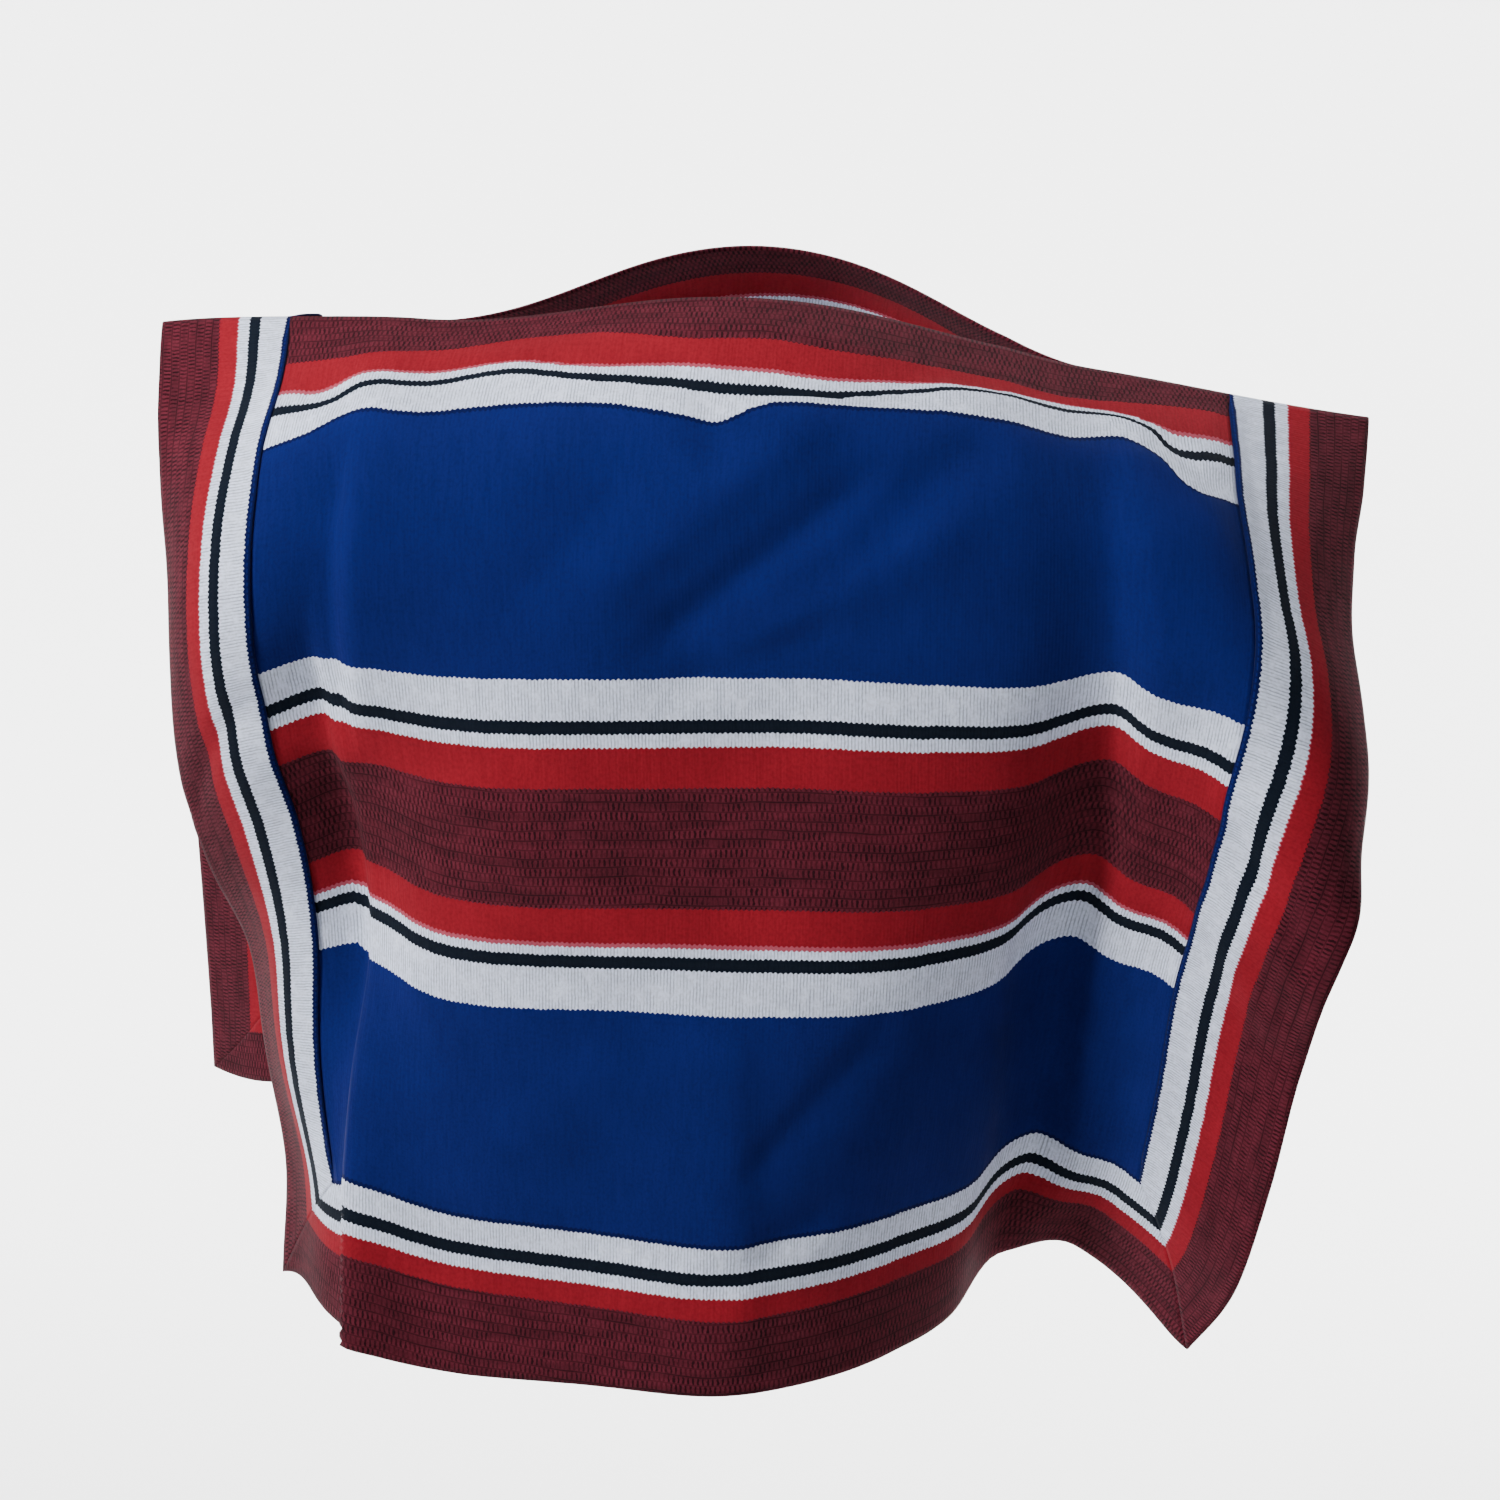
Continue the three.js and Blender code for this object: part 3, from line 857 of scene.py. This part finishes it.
def cotton_material(name, stripes, cloth, border=False):
    """Striped cotton. Stripes lie down a panel, and out from the seam on a border."""
    material = bpy.data.materials.new(name)
    material.use_nodes = True
    tree = material.node_tree
    tree.nodes.clear()
    bench = NodeBench(tree)
    layout = bench.add("ShaderNodeUVMap", uv_map="cloth")
    parts = bench.add("ShaderNodeSeparateXYZ")
    bench.join(layout.outputs["UV"], parts.inputs[0])
    across = bench.math("MULTIPLY", parts.outputs["X"], 1 / MM)
    drop = bench.math("MULTIPLY", parts.outputs["Y"], 1 / MM)
    over, along = drop, across
    if border:
        seam = (cloth.half_width - cloth.border_width) / MM
        over = bench.math("SUBTRACT", bench.math("ABSOLUTE", across), seam)
        along = drop
    yarn = bench.group("Cotton Yarn", along=along, over=over)
    comb = bench.group("Comb Floats", along=along, over=over)
    teeth = bench.group("Stripe Teeth", along=along)
    strayed = bench.math("ADD", over, teeth.outputs["Stray"])
    place = bench.math("DIVIDE", strayed, sum(width for _, width in stripes))
    names = ("blue", "navy", "red", "rose", "burgundy", "white", "black")
    colour = bench.stripes(place, stripes, {key: tuple(getattr(cloth, key)) for key in names})
    in_burgundy = bench.stripes(place, stripes, {"burgundy": (1.0, 1.0, 1.0)})
    in_white = bench.stripes(place, stripes, {"white": (1.0, 1.0, 1.0)})
    floats = bench.math("MULTIPLY", in_burgundy, comb.outputs["Mask"])
    colour = bench.blend("MIX", floats, colour, (*cloth.burgundy_dark, 1.0))
    # Painted shade between the ribs: the white stripes take the grey shade colour where the yarn's rib mask
    # shows.
    ribs = bench.math("MULTIPLY", in_white, yarn.outputs["Rib"])
    ribs = bench.math("MULTIPLY", ribs, RIB_SHADE)
    colour = bench.blend("MIX", ribs, colour, (*cloth.rib_shade_grey, 1.0))
    relief = bench.math("MULTIPLY_ADD", floats, FLOAT_HEIGHT, yarn.outputs["Height"])
    if border:
        stitches = bench.group("Edge Stitches", along=along, over=over).outputs["Mask"]
        colour = bench.blend("MIX", stitches, colour, (*cloth.blue, 1.0))
        relief = bench.math("ADD", relief, stitches)
    streak = bench.remap(yarn.outputs["Streak"], 0.3, 0.7, *STREAK_SHADES)
    tone = bench.remap(yarn.outputs["Tone"], 0.3, 0.7, *TONE_SHADES)
    speckle = bench.remap(yarn.outputs["Speckle"], 0.3, 0.62, *SPECKLE_SHADES)
    shade = bench.math("MULTIPLY", bench.math("MULTIPLY", streak, tone), speckle)
    colour = bench.blend("MULTIPLY", 1.0, colour, bench.point(shade, shade, shade))
    roughness = bench.remap(yarn.outputs["Streak"], 0.3, 0.7, *ROUGHNESS)
    bump = bench.add("ShaderNodeBump")
    bump.inputs["Strength"].default_value = RELIEF_STRENGTH
    bump.inputs["Distance"].default_value = RELIEF_DEPTH
    bench.join(relief, bump.inputs["Height"])
    shader = bench.add("ShaderNodeBsdfPrincipled")
    shader.inputs["Sheen Weight"].default_value = SHEEN
    shader.inputs["Sheen Roughness"].default_value = SHEEN_ROUGHNESS
    shader.inputs["Specular IOR Level"].default_value = SPECULAR
    bench.join(colour, shader.inputs["Base Color"])
    bench.join(roughness, shader.inputs["Roughness"])
    bench.join(bump.outputs["Normal"], shader.inputs["Normal"])
    output = bench.add("ShaderNodeOutputMaterial")
    bench.join(shader.outputs[0], output.inputs["Surface"])
    return material


def floor_material():
    material = bpy.data.materials.new("pale floor")
    material.use_nodes = True
    shader = material.node_tree.nodes["Principled BSDF"]
    shader.inputs["Base Color"].default_value = (*FLOOR_COLOUR, 1.0)
    shader.inputs["Roughness"].default_value = FLOOR_ROUGHNESS
    return material


# Cloth pieces


def cloth_piece(name, form, side, columns, rows, layout, thickness, lift=None, slipped=False):
    """A sheet from a grid of cells, laid on the cloth's form and given its wall.

    layout turns places (s, t) from 0 to 1 into across and drop, and lift gives the height above the form.
    slipped is for stripes that run across the cloth and slip along it."""
    bm = bmesh.new()
    bmesh.ops.create_grid(bm, x_segments=columns, y_segments=rows, size=0.5)
    flat = np.array([vertex.co[:2] for vertex in bm.verts]) + 0.5
    across, drop = layout(flat[:, 0], 1 - flat[:, 1])
    raised = 0.0 if lift is None else lift(across, drop)
    points = form.place(side, across, drop, raised)
    for vertex, point in zip(bm.verts, points):
        vertex.co = point
    woven = form.woven_drop(side, across, drop) if slipped else drop
    uv = bm.loops.layers.uv.new("cloth")
    for face in bm.faces:
        face.smooth = True
        for loop in face.loops:
            index = loop.vert.index
            loop[uv].uv = (across[index] * MM, woven[index] * MM)
    if side == BACK:
        bmesh.ops.reverse_faces(bm, faces=bm.faces[:])
    mesh = bpy.data.meshes.new(name)
    bm.to_mesh(mesh)
    bm.free()
    piece = bpy.data.objects.new(name, mesh)
    bpy.context.scene.collection.objects.link(piece)
    wall = piece.modifiers.new("Cloth Wall", "SOLIDIFY")
    wall.thickness = thickness
    wall.offset = 0.0
    wall.use_even_offset = True
    return piece


def cut_places(cloth, length):
    """Where the border's seam and the mitre's start lie on the flat cloth, and the hem band's width."""
    seam = (cloth.half_width - cloth.border_width) / MM
    band = cloth.border_width / MM
    return seam, length - band, band


def panel_layout(cloth, length):
    """A panel between the borders, which widens to the full width in its hem band.

    Returns the layout and its count of rows. One row lies where the widening starts."""
    seam, corner, band = cut_places(cloth, length)
    cell = cloth.cell / MM
    upper_rows = round(corner / cell)
    rows = upper_rows + round(band / cell)

    def layout(s, t):
        place = t * rows
        upper = place / upper_rows * (corner - SEAM_GAP) + SEAM_GAP
        lower = corner + (place - upper_rows) / (rows - upper_rows) * band
        drop = np.where(place <= upper_rows, upper, lower)
        half = seam + np.maximum(drop - corner, -SEAM_GAP)
        return (2 * s - 1) * half, drop

    return layout, rows


def border_layout(cloth, length, hand):
    """A border strip down one side, cut at 45 degrees at the bottom."""
    seam, corner, band = cut_places(cloth, length)

    def layout(s, t):
        share = s if hand > 0 else 1 - s
        drop = SEAM_GAP + t * (corner + share * band - SEAM_GAP)
        lapped = ease(drop / LAP_FADE) * ease((corner - drop) / LAP_FADE)
        width = share * band - LAP * lapped * (1 - share)
        return hand * (seam + width), drop

    return layout


def border_lift(cloth, length):
    """A border's inner edge rises over the edge of the panel and meets it flat at both ends."""
    seam, corner, _ = cut_places(cloth, length)

    def lift(across, drop):
        inside = np.abs(across) - seam
        lapped = ease(drop / LAP_FADE) * ease((corner + inside - drop) / LAP_FADE)
        return LAP_RISE * (1 - ease(inside / LAP_SLOPE)) * lapped

    return lift


def hanging_sides(cloth):
    """Name, side and length in metres of the front and the back."""
    return (("front", FRONT, cloth.front_length), ("back", BACK, cloth.back_length))


# Operators that build the cloth


class PONCHO_OT_panels(bpy.types.Operator):
    """Build the front and back panels"""

    bl_idname = "poncho.panels"
    bl_label = "Front and Back Panels"

    def execute(self, context):
        cloth = context.scene.poncho_cloth
        form = ClothForm(cloth)
        seam = cloth.half_width - cloth.border_width
        for name, side, length in hanging_sides(cloth):
            layout, rows = panel_layout(cloth, length / MM)
            piece = cloth_piece(
                f"{name}_panel_cloth",
                form,
                side,
                round(2 * seam / cloth.cell),
                rows,
                layout,
                cloth.thickness,
                slipped=True,
            )
            lower_field = length / MM - sum(width for _, width in UPPER_STRIPES + HEM_STRIPES)
            stripes = UPPER_STRIPES + [("blue", lower_field)] + HEM_STRIPES
            piece.data.materials.append(cotton_material(f"{name} panel cotton", stripes, cloth))
            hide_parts(f"{name}_panel")
            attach(piece, "root")
        return {"FINISHED"}


class PONCHO_OT_borders(bpy.types.Operator):
    """Build the four side borders"""

    bl_idname = "poncho.borders"
    bl_label = "Side Borders"

    def execute(self, context):
        cloth = context.scene.poncho_cloth
        form = ClothForm(cloth)
        material = cotton_material("border cotton", BORDER_STRIPES, cloth, border=True)
        for name, side, length in hanging_sides(cloth):
            for hand, sign in HANDS.items():
                piece = cloth_piece(
                    f"{name}_border_{hand}_cloth",
                    form,
                    side,
                    round(cloth.border_width / cloth.cell),
                    round(length / cloth.cell),
                    border_layout(cloth, length / MM, sign),
                    cloth.thickness,
                    border_lift(cloth, length / MM),
                )
                piece.data.materials.append(material)
                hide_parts(f"{name}_border_{hand}")
                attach(piece, "root")
        return {"FINISHED"}


# Stage


def add_camera(stage):
    place = Vector(stage.camera_place)
    forward = (Vector(stage.camera_aim) - place).normalized()
    right = forward.cross(Vector((0, 0, 1))).normalized()
    up = right.cross(forward)
    turn = stage.camera_roll
    rolled_right = right * math.cos(turn) + up * math.sin(turn)
    rolled_up = up * math.cos(turn) - right * math.sin(turn)
    axes = Matrix((rolled_right, rolled_up, -forward)).transposed().to_4x4()
    data = bpy.data.cameras.new("Camera")
    data.lens = stage.lens
    data.sensor_width = SENSOR_WIDTH
    data.clip_end = FAR_CLIP
    camera = bpy.data.objects.new("Camera", data)
    camera.matrix_world = Matrix.Translation(place) @ axes
    bpy.context.scene.collection.objects.link(camera)
    bpy.context.scene.camera = camera


def add_lights():
    for name, where, aim, size, power, spread in LIGHTS:
        lamp = bpy.data.lights.new(name, "AREA")
        lamp.shape = "SQUARE"
        lamp.spread = math.radians(spread)
        lamp.size = size
        lamp.energy = power
        light = bpy.data.objects.new(name, lamp)
        light.location = where
        light.rotation_euler = (Vector(aim) - Vector(where)).to_track_quat("-Z", "Y").to_euler()
        bpy.context.scene.collection.objects.link(light)


def add_ambient_light():
    world = bpy.data.worlds.new("Studio")
    world.use_nodes = True
    background = world.node_tree.nodes["Background"]
    background.inputs["Color"].default_value = AMBIENT_COLOUR
    background.inputs["Strength"].default_value = AMBIENT_STRENGTH
    bpy.context.scene.world = world


def add_floor(height):
    bm = bmesh.new()
    bmesh.ops.create_grid(bm, x_segments=1, y_segments=1, size=FLOOR_HALF)
    bmesh.ops.translate(bm, verts=bm.verts, vec=(0, 0, height))
    mesh = bpy.data.meshes.new("Floor")
    bm.to_mesh(mesh)
    bm.free()
    floor = bpy.data.objects.new("Floor", mesh)
    floor.data.materials.append(floor_material())
    bpy.context.scene.collection.objects.link(floor)


class PONCHO_OT_stage(bpy.types.Operator):
    """Set the camera, the soft lights and the floor"""

    bl_idname = "poncho.stage"
    bl_label = "Stage"

    def execute(self, context):
        stage = context.scene.poncho_stage
        add_camera(stage)
        add_lights()
        add_ambient_light()
        add_floor(stage.floor_height)
        return {"FINISHED"}


class PONCHO_PT_sidebar(bpy.types.Panel):
    """Lists the poncho's operators"""

    bl_idname = "PONCHO_PT_sidebar"
    bl_label = "Poncho"
    bl_space_type = "VIEW_3D"
    bl_region_type = "UI"
    bl_category = "Poncho"

    def draw(self, context):
        column = self.layout.column()
        for operator in OPERATORS:
            column.operator(operator.bl_idname)


OPERATORS = (PONCHO_OT_stage, PONCHO_OT_panels, PONCHO_OT_borders)
CLASSES = (PonchoCloth, PonchoStage, *OPERATORS, PONCHO_PT_sidebar)


def register():
    for cls in CLASSES:
        bpy.utils.register_class(cls)
    bpy.types.Scene.poncho_cloth = bpy.props.PointerProperty(type=PonchoCloth)
    bpy.types.Scene.poncho_stage = bpy.props.PointerProperty(type=PonchoStage)


def unregister():
    del bpy.types.Scene.poncho_stage
    del bpy.types.Scene.poncho_cloth
    for cls in reversed(CLASSES):
        bpy.utils.unregister_class(cls)


def main():
    register()
    build_yarn_group()
    build_comb_group()
    build_teeth_group()
    build_stitch_group()
    bpy.ops.poncho.stage()
    bpy.ops.poncho.panels()
    bpy.ops.poncho.borders()


if __name__ == "__main__":
    main()
